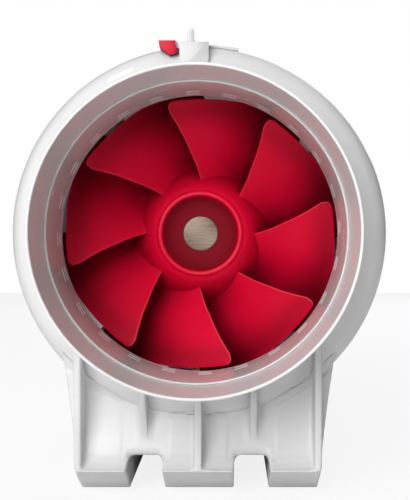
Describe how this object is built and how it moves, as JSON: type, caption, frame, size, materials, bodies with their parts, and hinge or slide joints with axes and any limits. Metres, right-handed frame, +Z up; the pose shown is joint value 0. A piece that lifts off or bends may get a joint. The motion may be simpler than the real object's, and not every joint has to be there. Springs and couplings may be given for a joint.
{
  "type": "inline duct fan",
  "caption": "Inline duct fan with a red mixed-flow impeller in a round white insulated body on a ribbed pedestal, with spigots at both ends and top latches with red levers.",
  "frame": {"origin": "on the floor, under the middle of the body, at the bottom centre of the overall box", "axes": "+Z up, +Y along the fan axis from the inlet to the outlet, +X to the right as seen from the inlet"},
  "size_m": [0.314, 0.52, 0.3895],
  "materials": {
    "white_gloss": "glossy white moulded plastic",
    "white_satin": "satin white moulded plastic",
    "sleeve_plastic": "warm off-white moulded plastic",
    "duct_plastic": "off-white moulded plastic",
    "foam": "open-cell acoustic foam",
    "rubber": "matte black rubber",
    "steel": "zinc-plated steel",
    "red_gloss": "satin-gloss crimson moulded plastic",
    "cap_metal": "brushed plate",
    "lamination": "stacked electrical steel",
    "bearing_steel": "ground bearing steel",
    "copper": "varnished copper wire",
    "cast_alloy": "die-cast aluminium",
    "strap_plastic": "grey-white strap plastic",
    "terminal_plastic": "terminal block nylon",
    "capacitor_can": "plastic capacitor can",
    "gland_plastic": "dark grey nylon"
  },
  "bodies": {
    "body": {"inlet_casing": "white_gloss", "outlet_casing": "white_gloss", "centre_casing": "white_gloss", "inlet_sleeve": "sleeve_plastic", "outlet_sleeve": "sleeve_plastic", "inlet_foam": "foam", "outlet_foam": "foam", "centre_foam": "foam", "inlet_gasket": "rubber", "outlet_gasket": "rubber", "terminal_box_gasket": "rubber", "gland_seal": "rubber", "inlet_screws": "steel", "outlet_screws": "steel", "motor_screws": "steel", "pedestal_screws": "steel", "terminal_box_screws": "steel", "impeller_shroud": "duct_plastic", "guide_vane_ring": "duct_plastic", "outlet_diffuser": "duct_plastic", "tail_cone": "duct_plastic", "front_bearing": "bearing_steel", "rear_bearing": "bearing_steel", "stator_core": "lamination", "stator_windings": "copper", "motor_housing": "cast_alloy", "motor_front_shield": "cast_alloy", "motor_rear_cover": "cast_alloy", "front_strap": "strap_plastic", "rear_strap": "strap_plastic", "front_latch_block": "white_gloss", "rear_latch_block": "white_gloss", "pedestal": "white_satin", "terminal_box": "white_satin", "terminal_box_lid": "white_satin", "terminal_block": "terminal_plastic", "run_capacitor": "capacitor_can", "gland_body": "gland_plastic", "gland_nut": "gland_plastic", "gland_locknut": "gland_plastic"},
    "rotor": {"impeller": "red_gloss", "hub_cap": "cap_metal", "impeller_nut": "steel", "motor_shaft": "steel", "rotor_core": "lamination"},
    "front_lever": {"front_latch_lever": "red_gloss", "front_latch_pin": "steel"},
    "rear_lever": {"rear_latch_lever": "red_gloss", "rear_latch_pin": "steel"}
  },
  "joints": [
    {"name": "impeller_spin", "type": "hinge", "parent": "body", "child": "rotor", "pos_m": [0, 0, 0.214], "axis": [0, 1, 0], "continuous": true},
    {"name": "front_lever_hinge", "type": "hinge", "parent": "body", "child": "front_lever", "pos_m": [-0.02, -0.167, 0.369], "axis": [0, 1, 0], "range_deg": [0, 90]},
    {"name": "rear_lever_hinge", "type": "hinge", "parent": "body", "child": "rear_lever", "pos_m": [-0.02, 0.167, 0.369], "axis": [0, 1, 0], "range_deg": [0, 90]}
  ]
}
